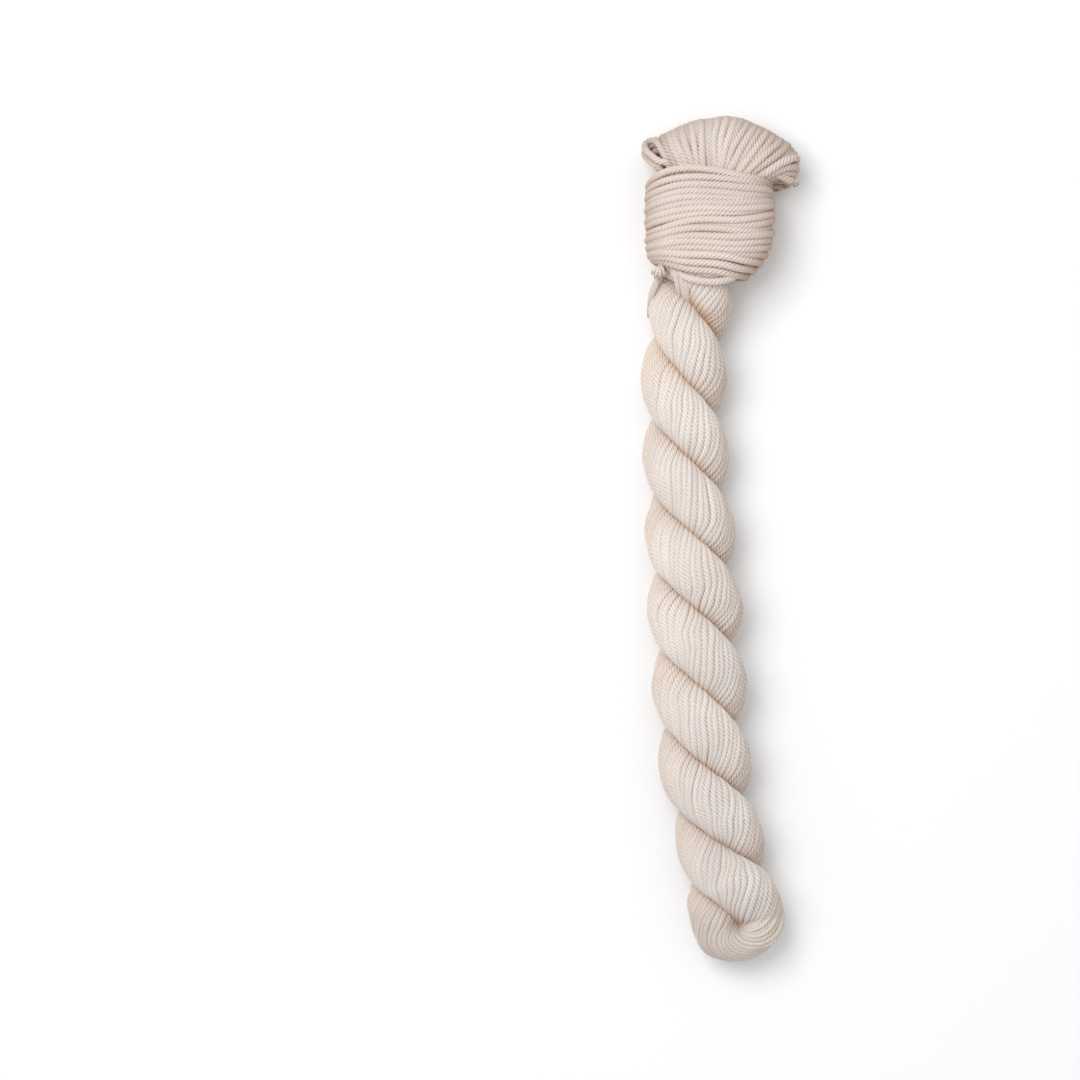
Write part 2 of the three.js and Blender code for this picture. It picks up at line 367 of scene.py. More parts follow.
def mesh_piece(name, points, faces, tints, face_uv=None):
    """A piece of yarn from arrays. A face whose last two corners are the same is a triangle."""
    triangle = faces[:, 2] == faces[:, 3]
    sizes = np.where(triangle, 3, 4)
    keep = np.ones(faces.shape, bool)
    keep[triangle, 3] = False
    corners = faces[keep].astype(np.int32)
    mesh = bpy.data.meshes.new(name)
    mesh.vertices.add(len(points))
    mesh.vertices.foreach_set("co", (points * MM).astype(np.float32).ravel())
    mesh.loops.add(len(corners))
    mesh.loops.foreach_set("vertex_index", corners)
    mesh.polygons.add(len(faces))
    starts = np.concatenate([[0], np.cumsum(sizes)[:-1]]).astype(np.int32)
    mesh.polygons.foreach_set("loop_start", starts)
    mesh.update(calc_edges=True)
    mesh.validate()
    if face_uv is not None:
        layer = mesh.uv_layers.new(name="strand")
        layer.uv.foreach_set("vector", face_uv[keep].astype(np.float32).ravel())
    # the tint holds each strand's tone and the painted shade
    colour = mesh.color_attributes.new("tint", "FLOAT_COLOR", "POINT")
    rgba = np.concatenate([tints, np.ones((len(tints), 1))], 1)
    colour.data.foreach_set("color", rgba.astype(np.float32).ravel())
    mesh.materials.append(yarn)
    mesh.shade_smooth()
    piece = bpy.data.objects.new(name, mesh)
    bpy.context.scene.collection.objects.link(piece)
    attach(piece, "root")
    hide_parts("hank")


def lofted(name, rings, tint):
    """A closed skin over rings of points, flat at both ends."""
    rings = np.asarray(rings)
    n, sides = rings.shape[:2]
    index = np.arange(n * sides).reshape(n, sides)
    points = np.concatenate([rings.reshape(-1, 3), [rings[0].mean(0), rings[-1].mean(0)]])
    points[:, 2] = np.maximum(points[:, 2], CORE_LOWEST)
    faces = [walls(index), cap(index[0][::-1], n * sides), cap(index[-1], n * sides + 1)]
    tints = np.tile(np.asarray(tint, float), (len(points), 1))
    mesh_piece(name, points, np.concatenate(faces), tints)


# ---- Strands of yarn

def frames_along(points, closed):
    """Directions along a line and two across it that don't turn about it more than they must."""
    if closed:
        along = unit(np.roll(points, -1, 0) - np.roll(points, 1, 0))
    else:
        along = unit(np.gradient(points, axis=0))
    across = np.empty_like(points)
    first = np.cross(along[0], UP if abs(along[0][2]) < 0.9 else (1.0, 0.0, 0.0))
    across[0] = first / np.linalg.norm(first)
    for i in range(1, len(points)):
        moved = across[i - 1] - along[i] * (across[i - 1] @ along[i])
        across[i] = moved / math.sqrt(moved @ moved)
    return along, across, np.cross(along, across)


class Strands:
    """Strands of plied yarn that become one mesh."""

    def __init__(self):
        self.points, self.faces, self.face_uv, self.tints, self.count = [], [], [], [], 0
        self.angles = np.radians([360 / PLIES * i + a for i in range(PLIES) for a in LOBE_ANGLES])
        self.radii = np.tile(LOBE_RADII, PLIES)

    def add(self, line, radius, tint, closed=False, turn=TURN, hidden=None):
        """A strand along a line. radius and tint are one for all of its points or one for each,
        and hidden says which of them can't be seen."""
        before = lengths(line)
        before = before / before[-1]
        points = spaced(line, STEP, closed)
        n = len(points)
        share = np.linspace(0, 1, n)
        if np.ndim(radius):
            radius = np.interp(share, before, radius)
        if np.ndim(tint) == 2:
            tint = np.stack([np.interp(share, before, column) for column in tint.T], 1)
        radius, tint = np.broadcast_to(radius, n), np.broadcast_to(tint, (n, 3))

        # Where it is hidden the plies don't twist, so there can be fewer rings.
        place = np.arange(n) * STEP
        kept = np.ones(n, bool)
        if hidden is not None:
            unseen = np.interp(share, before, hidden.astype(float)) > 0.999
            place = np.cumsum(np.where(unseen, 0, STEP)) - STEP
            kept = ~unseen | (np.arange(n) % HIDDEN_STEPS == 0)
            kept[[0, -1]] = True

        along, across, up = frames_along(points, closed)
        twist = rng.uniform(0, math.tau) - math.tau * place / turn
        plies_on = 0
        if closed:
            # At the join each ply meets its own end or that of another.
            back = across[-1] - along[0] * (across[-1] @ along[0])
            gained = math.atan2(back @ up[0], back @ across[0])
            whole = -math.tau * n * STEP / turn
            ply = math.tau / PLIES
            plies_on = round((whole + gained) / ply)
            twist += (plies_on * ply - whole - gained) * np.arange(n) / n
        angle = twist[:, None] + self.angles
        size = radius[:, None] * self.radii
        rings = points[:, None] + size[..., None] * (
            np.cos(angle)[..., None] * across[:, None] + np.sin(angle)[..., None] * up[:, None]
        )
        rings[..., 2] = np.maximum(rings[..., 2], LOWEST)

        # The grooves between the plies get painted shade.
        groove = np.where(self.radii[:, None] == min(LOBE_RADII), GROOVE_SHADE, 1.0)
        shades = tint[kept][:, None] * groove
        index = self.add_skin(rings[kept], place[kept], shades, closed, plies_on)
        if not closed:
            self.add_end(points[0] - END_BULGE * radius[0] * along[0], index[0][::-1], shades[0])
            self.add_end(points[-1] + END_BULGE * radius[-1] * along[-1], index[-1], shades[-1])

    def add_skin(self, rings, place, shades, closed, plies_on):
        """The skin over a strand's rings. Gives the numbers of their points."""
        n, sides = rings.shape[:2]
        index = self.count + np.arange(n * sides).reshape(n, sides)
        joined = index
        if closed:
            first_again = np.roll(index[:1], -plies_on * len(LOBE_ANGLES), 1)
            joined = np.concatenate([index, first_again])
        faces = walls(joined)
        row, column = np.divmod(np.arange(len(faces)), sides)
        run = np.append(place, place[-1] + STEP) / TURN
        self.face_uv.append(np.stack([
            np.stack([(column + i) / sides, run[row + j]], -1)
            for i, j in ((0, 0), (1, 0), (1, 1), (0, 1))
        ], 1))
        self.faces.append(faces)
        self.points.append(rings.reshape(-1, 3))
        self.tints.append(shades.reshape(-1, 3))
        self.count += n * sides
        return index

    def add_end(self, tip, edge, shades):
        """A blunt rounded end."""
        self.points.append(tip[None])
        self.tints.append(shades.mean(0)[None])
        self.faces.append(cap(edge, self.count))
        self.face_uv.append(np.zeros((len(edge), 4, 2)))
        self.count += 1

    def made(self, name):
        points, faces, tints, face_uv = map(
            np.concatenate, (self.points, self.faces, self.tints, self.face_uv))
        mesh_piece(name, points, faces, tints, face_uv)


# ---- Tones

# Painted shade on the wool: warm in creases, where the light has bounced about in them, and
# darker where strands turn down at the sides of the hank
CREASE_SHADE = np.array([0.92, 0.78, 0.66])
CREASE_SHADE_AT_NECK = np.array([0.90, 0.70, 0.53])
EDGE_SHADE = np.array([0.93, 0.88, 0.83])
SHADED_EDGE = np.array([0.84, 0.78, 0.73])
HEAD_SHADE = np.array([0.92, 0.88, 0.865])  # painted shade: the head a little darker and warmer than the rope
LOOP_SHADE = np.array([0.96, 0.95, 0.95])  # and on its opened loop, less so
# painted shade on the right of the opened loop
LOOP_RIGHT_SHADE = np.array([0.895, 0.845, 0.79])
LEFT_EDGE_SHADE = np.array([0.74, 0.66, 0.59])  # painted shade on the sides of the collar
RIGHT_EDGE_SHADE = np.array([0.70, 0.57, 0.45])
CREST_SHADE = np.array([0.68, 0.61, 0.565])  # painted shade at the rim of the opened loop, where its strands turn down


def strand_tone(spread=0.05):
    """The tint of one strand: a little lighter or darker, warmer or cooler."""
    lighter = 1 + rng.uniform(-spread, 0.3 * spread)
    return lighter * (1 + rng.uniform(-0.012, 0.012) * np.array([1, 0, -1]))


def edge_shade(line, middle, rise, edge):
    """The painted shade along a strand that turns down at the sides, darker the lower it lies,
    given the middle height of what it lies on, its rise above that and the shade at the very edge."""
    down = 1 - smooth_step((line[:, 2] - middle) / rise, 0.05, 0.95)
    return 1 - (1 - edge) * down[:, None]


# ---- The rope and its foot

STRANDS_IN_PLY = 30
ROPE_RADIUS = 1.0  # of its strands
MEAN_RADIUS = 13.6  # of the rope, to turn millimetres into shares of it
ROPE_MESHES = 4
PER_CROSSING = 60  # stations from one crossing to the next
FOOT_STATIONS = 96
FOOT_DRIFT = 0.38  # how far round its ply a strand moves in the turn at the foot
INNER_SIDE = 0.3  # how far from the plane between the plies the strands beside it lie
TOGETHER, ALONE = 0.75, 0.12  # how many places strands wander, with their neighbours and alone
FIT, LOOSER_FIT = 0.65, 0.06  # a strand's radius in gaps to the next, and how much less at the foot
RADIUS_RANGE = (0.66, 1.35)
PROUD, PROUD_WANDER = (-0.17, 0.12), 0.17  # how much higher a strand lies than those beside it
FOOT_UNEVEN = 0.9  # how much more so at the foot

# At the foot's eye the strands on top go down between the plies.
EYE_OPEN = 0.005  # how far the plies stand apart there, as a share of the radius
GATHER_FROM, GATHER_FULL = 0.62, 0.42  # crossings before it where gathering starts and is full
GATHER_GONE = 0.35  # how far round the foot it ends
GATHER_PAST = 0.03  # how far past the corner of the ply they are held, as a share of its outline
GATHER_SOFT = 0.035
GOES_DOWN = 0.04  # strands held back by more than this end in the eye
HELD_DEEPER = 4.0  # how much deeper they lie before it, for each share of the outline held back
EYE_DEPTH = 6.0  # how deep they end in it
EYE_AT = (4.6, -115.4)
EYE_SIZE = 3.0
# painted shade in the eye of the foot, where the strands go down
EYE_SHADE = np.array([0.66, 0.62, 0.60])

# Painted shade on the rope
NECK = (40, 72)  # y over which the painted shade in the creases grows warmer towards the neck
TO_FOOT = (20, 118)  # -y over which painted shade greys the rope towards its foot
FOOT_SHADE = np.array([0.90, 0.91, 0.922])
FOOT_RIGHT = 0.055  # how much less of that painted shade it has on the right
UNDER_COLLAR = 88  # y past which the collar hides it

CORE_INSET = 1.3
CORE_DIP = 0.16
# painted shade: the core is dark so that the gaps between strands read as shadow
CORE_SHADE = np.array([0.80, 0.62, 0.50])

Outline = namedtuple("Outline", "at table length corner")
Stations = namedtuple("Stations", "middle out width radius turned drift")


def ply_outline(inset, inner_at):
    """The outline of a ply in shares of the rope's radius, inset by a share and with its inner side
    at another, as a table of places round it: out from the rope's axis, along it, and the outward
    direction. Starts at the lower corner, goes over the crown to the upper corner and back along
    the flat inner side."""
    depth, half = 1 - PLY_MIDDLE - inset, PLY_ACROSS - inset
    bend = math.acos(((PLY_MIDDLE - inner_at) / depth) ** (PLY_POWER / 2))
    out, wide = rounded_box(np.linspace(bend - math.pi, math.pi - bend, 400), PLY_POWER)
    outer = np.stack([PLY_MIDDLE + depth * out, half * wide], 1)
    inner = np.linspace(outer[-1], outer[0], 160)[1:-1]
    fine = 0.004
    line = spaced(np.concatenate([outer, inner]), fine, closed=True)
    line = softened(line, 0.05, fine, closed=True)
    heading = unit(np.roll(line, -1, 0) - np.roll(line, 1, 0))
    outward = np.stack([heading[:, 1], -heading[:, 0]], 1)
    run = lengths(np.concatenate([line, line[:1]]))
    table = np.concatenate([line, outward], 1)
    table = np.concatenate([table, table[:1]])
    over_crown = lengths(outer)[-1]
    corner = over_crown / (over_crown + np.linalg.norm(outer[-1] - outer[0]))
    return Outline(run / run[-1], table, run[-1], corner)


def on_outline(outline, places):
    return np.stack([np.interp(places % 1, outline.at, column) for column in outline.table.T], -1)


def rope_stations():
    """Stations from the neck down one ply, round the foot and up the other: the middle, the
    directions out from the axis and along the ply's width, each as long as the rope's radius
    there, the radius, how far the rope has turned and the drift of the strands round the ply."""
    last = len(CROSSINGS) - 1
    down = np.linspace(last, 0, PER_CROSSING * last + 1)
    rows = through(CROSSINGS, down)
    above, below = np.minimum(down + 0.05, last), np.maximum(down - 0.05, 0)
    ahead = (through(CROSSINGS, above) - through(CROSSINGS, below)) / (above - below)[:, None]
    pitch = np.linalg.norm(ahead[:, :2], axis=1)
    heading = unit(ahead[:, :2])
    side = np.stack([heading[:, 1], -heading[:, 0], np.zeros(len(down))], 1)
    middle, radius, turned = rows[:, :3], rows[:, 3:4], rows[:, 5]
    cos, sin = np.cos(math.pi * turned)[:, None], np.sin(math.pi * turned)[:, None]
    out = radius * (side * cos + UP * sin)
    width = radius * (UP * cos - side * sin)
    centre_radius = 1 - ROPE_RADIUS / radius[:, 0]
    lean = np.radians(rows[:, 4]) + np.arctan2(heading[:, 0], heading[:, 1])
    rate = math.pi * ahead[:, 5] * centre_radius - np.tan(lean) * pitch / radius[:, 0]
    rate = rate / STRAND_OUTLINE.length
    drift = np.concatenate([[0], np.cumsum((rate[1:] + rate[:-1]) / 2 * -np.diff(down))])

    foot = FOOT_STATIONS
    swing = np.linspace(0, math.pi, foot + 2)[1:-1]
    eye, eye_side, eye_radius = middle[-1], side[-1], radius[-1, 0]
    reaching = FOOT_REACH * np.array([eye_side[1], -eye_side[0], 0.0])
    foot_out = eye_radius * np.cos(swing)[:, None] * eye_side + np.sin(swing)[:, None] * reaching
    foot_drift = drift[-1] + FOOT_DRIFT * (np.arange(foot) + 1) / (foot + 1)
    up_drift = drift[-1] + FOOT_DRIFT + (drift[-1] - drift[::-1])
    return Stations(
        np.concatenate([middle, np.tile(eye, (foot, 1)), middle[::-1]]),
        np.concatenate([out, foot_out, -out[::-1]]),
        np.concatenate([width, np.tile(eye_radius * UP, (foot, 1)), width[::-1]]),
        np.concatenate([radius[:, 0], np.full(foot, eye_radius), radius[::-1, 0]]),
        np.concatenate([turned, np.zeros(foot), turned[::-1]]),
        np.concatenate([drift, foot_drift, up_drift]),
    )


STRAND_OUTLINE = ply_outline(ROPE_RADIUS / MEAN_RADIUS, INNER_SIDE / MEAN_RADIUS)
STATIONS = rope_stations()
STATION = np.arange(len(STATIONS.turned))
EYE_STATION = int(np.argmin(STATIONS.turned))


def on_rope(places, lift):
    """Points on the plies at places round the strands' outline, lifted off it by millimetres."""
    at = on_outline(STRAND_OUTLINE, places)
    opened = EYE_OPEN * np.exp(-(STATIONS.turned / 0.16) ** 2)
    out = at[:, 0] * (1 - opened) + opened + at[:, 2] * lift / STATIONS.radius
    wide = at[:, 1] + at[:, 3] * lift / STATIONS.radius
    return STATIONS.middle + STATIONS.out * out[:, None] + STATIONS.width * wide[:, None]


def gathered_at_eye(places):
    """Near the eye the strands on top don't slip into the crease one by one: they run beside it to
    the eye and go down there. Gives their places, and how far they are held back from where they
    would be."""
    turned = STATIONS.turned[:EYE_STATION + 1]
    start = int(np.argmin(np.abs(turned - GATHER_FROM)))
    full = int(np.argmin(np.abs(turned - GATHER_FULL)))
    gone = EYE_STATION + int(GATHER_GONE * FOOT_STATIONS)
    held = smooth_step(STATION, start, full) * (1 - smooth_step(STATION, EYE_STATION - 3, gone))
    corner = STRAND_OUTLINE.corner
    barrier = corner + GATHER_PAST + np.ceil(places[:, start] - corner - GATHER_PAST)[:, None]
    kept = barrier - GATHER_SOFT * np.logaddexp(0, (barrier - places) / GATHER_SOFT)
    held_back = held * (places - kept)
    return places - held_back, held_back


def at_foot():
    """How far each station belongs to the turn at the foot, where the strands lie looser."""
    end = EYE_STATION + FOOT_STATIONS
    begun = smooth_step(STATION, EYE_STATION - 12, EYE_STATION + 4)
    return begun * (1 - smooth_step(STATION, end, end + 24))


def fitted_radii(places, step):
    """The radius along each strand with which it meets its neighbours."""
    lines = np.array([on_rope(row, 0.0) for row in places])
    to_next = np.roll(lines, -1, 0) - lines
    gap = np.linalg.norm(np.cross(to_next, unit(np.gradient(lines, axis=1))), axis=2)
    gap = (gap + np.roll(gap, 1, 0)) / 2
    fit = FIT - LOOSER_FIT * at_foot()
    return [np.clip(softened(row[:, None], 2.0, step)[:, 0] * fit, *RADIUS_RANGE) for row in gap]


def rope_strand(strands, places, proud, fitting, down=0.0, part=slice(None)):
    """Adds one strand that runs along the plies at places round their outline, or a part of it."""
    at = on_outline(STRAND_OUTLINE, places)
    line = on_rope(places, proud * smooth_step(at[:, 0], 0.02, 0.3) - down)
    line[:, 2] = kept_up(line[:, 2], RESTS_AT * ROPE_RADIUS)
    run = lengths(line)
    line = softened(line, 1.0, run[-1] / (len(run) - 1))
    radius = fitting * (rng.uniform(0.95, 1.08) + wander(run, 0.06, (9, 21, 47)))

    # Painted shade: warm in the creases, more so on the right, darker at the sides, greyer towards
    # the foot and dark in the eye.
    on_right = smooth_step(STATIONS.out[:, 0] / STATIONS.radius, -0.4, 0.4)[:, None]
    near_neck = smooth_step(line[:, 1], *NECK)
    crease = 1 - smooth_step(at[:, 0], 0.03, 0.24 + 0.16 * near_neck)[:, None]
    crease_shade_colour = CREASE_SHADE + (CREASE_SHADE_AT_NECK - CREASE_SHADE) * near_neck[:, None]
    shaded = on_right * smooth_step(line[:, 1:2], -116, -84)
    edge = EDGE_SHADE + (SHADED_EDGE - EDGE_SHADE) * shaded
    to_foot = smooth_step(-line[:, 1:2], *TO_FOOT)
    greyer = 1 - to_foot * (1 - FOOT_SHADE - FOOT_RIGHT * on_right)
    from_eye = np.linalg.norm(line[:, :2] - EYE_AT, axis=1)[:, None]
    in_eye = np.exp(-(from_eye / EYE_SIZE) ** 2) * (line[:, 2:] > 8)
    tint = strand_tone() * (1 - crease * (0.4 + 0.6 * on_right) * (1 - crease_shade_colour))
    tint = tint * edge_shade(line, 12.5, 12, edge) * greyer * (1 - in_eye * (1 - EYE_SHADE))

    hidden = (at[:, 0] < 0.04) & (STATIONS.turned > 0.3) | (line[:, 1] > UNDER_COLLAR)
    strands.add(line[part], radius[part], tint[part], hidden=hidden[part])


def rope_strands():
    count = STRANDS_IN_PLY
    together = shared_wander(count, TOGETHER, (19, 34, 53, 90, 160))
    run = lengths(on_rope(STATIONS.drift, 0.0))
    places = []
    for j in range(count):
        own = j + rng.uniform(-0.1, 0.1) + together(j, run)
        places.append((own + wander(run, ALONE, (23, 37, 71, 130))) / count)
    places = np.array(places) + STATIONS.drift
    gathered, held_back = gathered_at_eye(places)
    step = run[-1] / (len(run) - 1)
    radii, radii_gathered = fitted_radii(places, step), fitted_radii(gathered, step)
    down = EYE_DEPTH * smooth_step(STATION, EYE_STATION - 5, EYE_STATION + 10)
    to_eye = slice(0, EYE_STATION + 14)

    meshes = [Strands() for _ in range(ROPE_MESHES)]
    for j in range(count):
        strands = meshes[j * ROPE_MESHES // count]
        proud = rng.uniform(*PROUD) + wander(run, PROUD_WANDER, (17, 31, 64, 110))
        proud = proud * (1 + FOOT_UNEVEN * at_foot())
        proud_gathered = proud - HELD_DEEPER * held_back[j]
        if held_back[j, EYE_STATION] < GOES_DOWN:
            rope_strand(strands, gathered[j], proud_gathered, radii_gathered[j])
            continue
        rope_strand(strands, gathered[j], proud_gathered, radii_gathered[j], down, to_eye)
        # Another comes up from inside, in the place that this one would have had.
        from_inside = slice(int(np.argmax(held_back[j] > GOES_DOWN)), None)
        rope_strand(strands, places[j], proud, radii[j], 0.0, from_inside)
    for number, strands in enumerate(meshes):
        strands.made(f"rope_strands_{number + 1}")


def rope_core():
    """Fills the plies up to the plane between them, a little lower there than elsewhere."""
    at = on_outline(ply_outline(CORE_INSET / MEAN_RADIUS, 0.0), np.arange(48) / 48)
    wide = at[:, 1] * (1 - CORE_DIP * (1 - smooth_step(at[:, 0], 0.0, 0.35)))
    rings = [
        STATIONS.middle[i] + STATIONS.out[i] * at[:, 0:1] + STATIONS.width[i] * wide[:, None]
        for i in range(6, len(STATION) - 6, 6)
    ]
    lofted("rope_core", np.array(rings)[:, ::-1], CORE_SHADE)


# ---- The collar

TUCK = 0.8  # how much further up the turns near the neck lie underneath
LOW_TURNS = 86  # y below which the turns are a little thicker
UNDER_TURNS = 13
UNDER_DEEPER = 1.55
LIP_RINGS = (1.9, 3.7, 5.5, 7.3)  # how much deeper those lie that close the collar's ends
NECK_RINGS = (3.2, 4.9, 6.6)
COLLAR_FINE = 0.4
COLLAR_CORE_ROWS, COLLAR_CORE_INSET = (2.5, 5.9), 4.6


def on_collar(rows_at, turn, inset):
    """Points on the collar's form at row numbers and angles round it, inset by millimetres."""
    y, left, right, bottom, top, slope = through(COLLAR, rows_at).T
    across, up = rounded_box(turn)
    sideways = ((right - left) / 2 - inset) * across
    upwards = ((top - bottom) / 2 - inset) * up
    return np.stack([
        (left + right) / 2 + sideways, y + slope * sideways, (top + bottom) / 2 + upwards
    ], -1)


def collar_rows(y_wanted, turn):
    """The row numbers at which the collar's form has the wanted y at each angle."""
    at = np.linspace(0, len(COLLAR) - 1, 200)
    table = through(COLLAR, at)
    y = y_wanted
    for _ in range(4):
        rows = np.interp(-y, -table[:, 0], at)
        _, left, right, _, _, slope = through(COLLAR, rows).T
        y = y_wanted - slope * (right - left) / 2 * rounded_box(turn)[0]
    return np.interp(-y, -table[:, 0], at)


def collar_loop(y_stations, depths, radius, extra=0.0):
    """A closed strand round the collar, given its y at the stations over the top and how much
    deeper it lies at the right, in the middle, at the left and everywhere."""
    turn = np.radians(np.arange(0, 360, 1.0))
    degrees = np.degrees(turn)
    right, left = y_stations[0], y_stations[-1]
    tuck = TUCK * smooth_step(90 - right, 0, 8)
    across = right - left
    under = [left + across * 0.2 - tuck, left + across * 0.5, left + across * 0.8 - tuck]
    y = np.interp(degrees, (*TURN_STATIONS, 225, 270, 315, 360), (*y_stations, *under, right))
    y = softened(y[:, None], 9.0, 1.0, closed=True)[:, 0]
    at_right, in_middle, at_left = depths
    depth = np.interp(degrees, (0, 40, 90, 140, 180, 270, 360),
                      (at_right, at_right, in_middle, at_left, at_left, 0.3, at_right))
    depth = softened(depth[:, None], 9.0, 1.0, closed=True)[:, 0]
    rows = collar_rows(y, turn)
    rows = rows + wander(degrees, 0.02, (180, 120, 90, 72))
    depth = depth + wander(degrees, 0.1, (360, 120, 72))
    line = on_collar(rows, turn, radius + depth + extra)
    line[:, 2] = kept_up(line[:, 2], RESTS_AT * radius)
    line = spaced(line, COLLAR_FINE, closed=True)
    return softened(line, 0.9, COLLAR_FINE, closed=True)


def collar_strands():
    strands = Strands()
    for row in COLLAR_TURNS:
        radius = TURN_RADIUS * rng.uniform(0.95, 1.06) * (1 + 0.1 * (row[3] < LOW_TURNS))
        line = collar_loop(row[:7], row[7:], radius)
        # Painted shade: darker at the collar's sides, more so on the right, and over the whole
        # head.
        to_right = smooth_step(line[:, :1], -12, 8)
        edge = LEFT_EDGE_SHADE + (RIGHT_EDGE_SHADE - LEFT_EDGE_SHADE) * to_right
        tint = strand_tone(0.06) * HEAD_SHADE * edge_shade(line, 15, 14, edge)
        strands.add(line, radius, tint, closed=True)
    strands.made("collar_strands")


def collar_under():
    """The layer of the collar below, and the turns that close its two ends."""
    strands = Strands()
    share = np.linspace(0, 1, UNDER_TURNS)
    # y at the right and at the left, and how much deeper
    turns = [(104.5 - 23.5 * at, 103.5 - 19.5 * at, UNDER_DEEPER) for at in share]
    turns += [(106.8 + 0.2 * extra, 105.4 + 0.2 * extra, extra) for extra in LIP_RINGS]
    turns += [(82.2 + 0.1 * extra, 85.0 + 0.1 * extra, extra) for extra in NECK_RINGS]
    bow = 1.6 * np.sin(np.radians(TURN_STATIONS))
    for right, left, extra in turns:
        stations = right + (left - right) * np.array(TURN_STATIONS) / 180 + bow
        line = collar_loop(stations, (0, 0, 0), TURN_RADIUS, extra)
        # painted shade: the layer below halfway to the shade of the creases
        strands.add(line, TURN_RADIUS, strand_tone() * HEAD_SHADE * (CREASE_SHADE + 1) / 2, closed=True)
    strands.made("collar_strands_under")


def collar_core():
    turn = np.linspace(0, math.tau, 48, endpoint=False)
    rings = [
        on_collar(np.full(48, at), turn, COLLAR_CORE_INSET)
        for at in np.linspace(*COLLAR_CORE_ROWS, 12)
    ]
    # painted shade, so that the gaps between strands read as shadow
    lofted("collar_core", rings, CREASE_SHADE * HEAD_SHADE)


# ---- The opened loop

BETWEEN_DEEPER = 1.9  # how much deeper the strands between those of the table lie
FAN_CORE_ROWS, FAN_CORE_INSET, FAN_CORE_LOWER = (2.6, 9.3), 2.6, 2.8


def fan_line(row, radius):
    """A strand of the opened loop: from its root under the collar over the crest and back below."""
    crest, mid, root = row[0:2], row[2:4], row[4:6]
    bottom, top, deeper = row[6:9]
    crest = crest - unit(crest - mid) * radius
    knots = np.array([root + unit(root - mid) * ROOT_DEPTH, root, mid, crest])
    places = lengths(knots)
    turn = np.linspace(math.pi * 0.93, -math.pi * 0.93, 260)
    out, up = rounded_box(turn)
    share = (1 + out) / 2
    flat = through(knots, np.interp(share * places[-1], places, np.arange(4)))
    top = top - deeper * np.clip(1.5 - share, 0, 1)
    height = (top + bottom) / 2 + ((top - bottom) / 2 - radius) * up
    run = lengths(np.column_stack([flat, height]))
    across = unit(np.stack([-(crest - root)[1], (crest - root)[0]]))
    aside = wander(run, 0.22, (12, 22, 40)) + smooth_step(-turn, 0.0, 1.2) * rng.uniform(-0.8, 0.8)
    flat = flat + across * aside[:, None]
    line = np.column_stack([flat, kept_up(height, RESTS_AT * radius)])
    return softened(spaced(line, FINE), 0.8, FINE)


def fan_strands():
    strands = Strands()
    between = (FAN_STRANDS[1:] + FAN_STRANDS[:-1]) / 2
    between[:, 8] += BETWEEN_DEEPER
    for row in np.concatenate([FAN_STRANDS, between]):
        radius = FAN_RADIUS * rng.uniform(0.93, 1.05)
        line = fan_line(row, radius)
        # Painted shade: darker on the loop's right and where its strands turn down.
        darker = 1 - (1 - LOOP_RIGHT_SHADE) * smooth_step(line[:, :1], 2, 20)
        tint = strand_tone(0.08) * LOOP_SHADE * darker * edge_shade(line, 12.5, 10.5, CREST_SHADE)
        strands.add(line, radius, tint)
    strands.made("fan_strands")


def fan_core():
    """Fills the inside of the opened loop, but for its open ends."""
    across, up = rounded_box(np.linspace(0, math.tau, 32, endpoint=False))
    rings = []
    for at in np.linspace(*FAN_CORE_ROWS, 24):
        x, y, lean, reach, bottom, top = through(FAN, at)
        way = np.array([math.sin(math.radians(lean)), math.cos(math.radians(lean))])
        middle = np.array([x, y]) - way * reach / 2
        flat = middle + way * ((reach / 2 - FAN_CORE_INSET) * across)[:, None]
        height = (top + bottom) / 2 + ((top - bottom) / 2 - FAN_CORE_LOWER) * up
        rings.append(np.column_stack([flat, height]))
    # painted shade, so that the gaps between strands read as shadow
    lofted("fan_core", rings, CREASE_SHADE * HEAD_SHADE)


